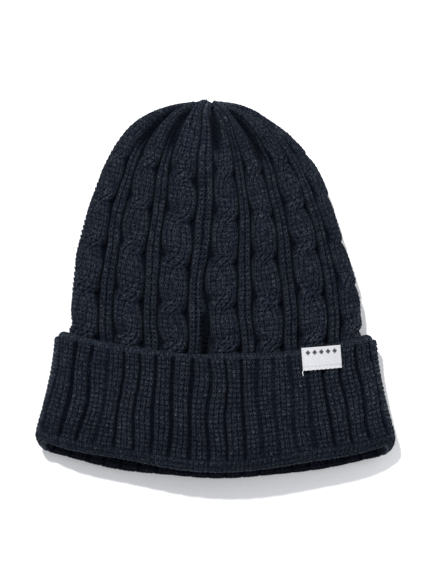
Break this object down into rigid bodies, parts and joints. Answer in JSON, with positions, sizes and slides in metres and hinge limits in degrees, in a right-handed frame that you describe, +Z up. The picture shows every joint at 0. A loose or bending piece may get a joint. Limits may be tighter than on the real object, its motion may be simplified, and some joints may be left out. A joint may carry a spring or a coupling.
{
  "type": "knit beanie",
  "caption": "Cable-knit hat with a turned-up ribbed cuff, a gathered crown and a small woven label on the cuff, lying flat.",
  "frame": {"origin": "on the surface that the hat lies on, under the middle of its bounding box", "axes": "+Y from the mouth towards the crown, +X across the hat, +Z up through its thickness"},
  "size_m": [0.2284, 0.2384, 0.038],
  "materials": {
    "yarn": "fuzzy knitted yarn, dark blue-grey",
    "woven_label": "smooth woven tape, white",
    "sewing_thread": "spun thread, white"
  },
  "bodies": {
    "root": {"cable_body": "yarn", "crown": "yarn", "inner_band": "yarn", "brim_fold": "yarn", "turned_up_cuff": "yarn", "cuff_label": "woven_label", "label_stitches": "sewing_thread", "crown_gather_yarn": "yarn", "gather_knot": "yarn", "body_seam": "yarn", "cuff_seam": "yarn", "care_label": "woven_label", "care_label_stitches": "sewing_thread"}
  },
  "joints": []
}
